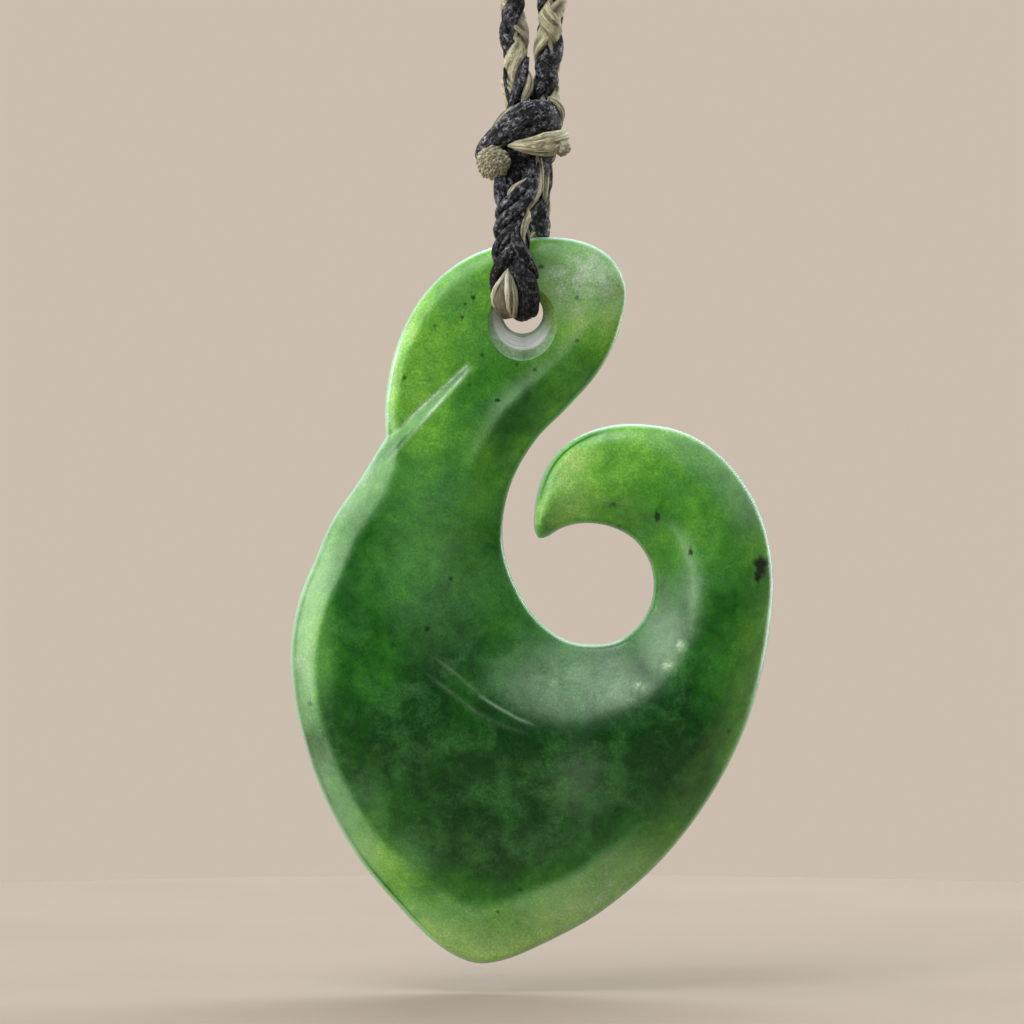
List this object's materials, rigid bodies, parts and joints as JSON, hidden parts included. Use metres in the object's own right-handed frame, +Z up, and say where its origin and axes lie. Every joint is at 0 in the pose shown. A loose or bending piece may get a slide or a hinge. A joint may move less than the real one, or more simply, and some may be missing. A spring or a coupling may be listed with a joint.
{
  "type": "fish hook pendant necklace",
  "caption": "Carved green stone pendant in the form of a stylised fish hook, hung through a countersunk bore on a knotted plaited neck cord.",
  "frame": {"origin": "underside of the neck cord at the top of its loop, where it rests on the neck or hangs from a peg", "axes": "+Z up, the carved front faces -Y, +X to the right seen from the front"},
  "size_m": [0.1067, 0.0088, 0.3697],
  "materials": {
    "green_stone": "polished, slightly translucent",
    "plaited_cord": "waxed plait, black with tan strands",
    "tan_cord": "matte linen fibre"
  },
  "bodies": {
    "cord": {"neck_cord": "plaited_cord", "knot": "plaited_cord", "cord_end_left": "tan_cord", "cord_end_right": "tan_cord", "hanging_loop": "plaited_cord"},
    "hook": {"hook_pendant": "green_stone"}
  },
  "joints": [
    {"name": "pendant_swing", "type": "hinge", "parent": "cord", "child": "hook", "pos_m": [0, 0, -0.32258], "axis": [0, 1, 0], "range_deg": [-30, 30]}
  ]
}
